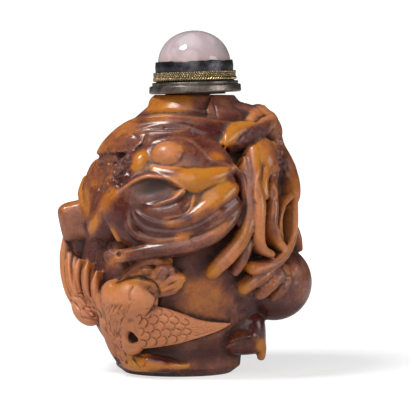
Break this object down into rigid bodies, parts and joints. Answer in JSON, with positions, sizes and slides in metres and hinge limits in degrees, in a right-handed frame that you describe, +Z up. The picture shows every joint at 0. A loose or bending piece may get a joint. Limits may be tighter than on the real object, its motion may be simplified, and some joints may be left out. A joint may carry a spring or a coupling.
{
  "type": "snuff bottle",
  "caption": "Carved amber snuff bottle in high relief, with fingered citrons, a pomegranate and a crane, and a rose quartz stopper in an old silver mount",
  "frame": {"origin": "the middle of the foot's flat underside, on the surface that the bottle stands on", "axes": "+Z up through the neck, -Y out of the carved front with the crane, +X to the pomegranate's side"},
  "size_m": [0.0513, 0.0375, 0.0693],
  "materials": {
    "amber": "polished amber, mottled from opaque butterscotch to dark cherry, with dark wax and dirt in the cuts",
    "old_silver": "silver gone dark, worn bright on the step's edge",
    "gilt_wire": "gilt silver wire, rubbed and dark between the strands",
    "rose_quartz": "polished milky rose quartz, faintly clouded",
    "cork": "dark old cork"
  },
  "bodies": {
    "root": {"bottle": "amber", "stopper_mount": "old_silver", "stopper_braid": "gilt_wire", "stopper_stone": "rose_quartz", "stopper_cork": "cork"}
  },
  "joints": []
}
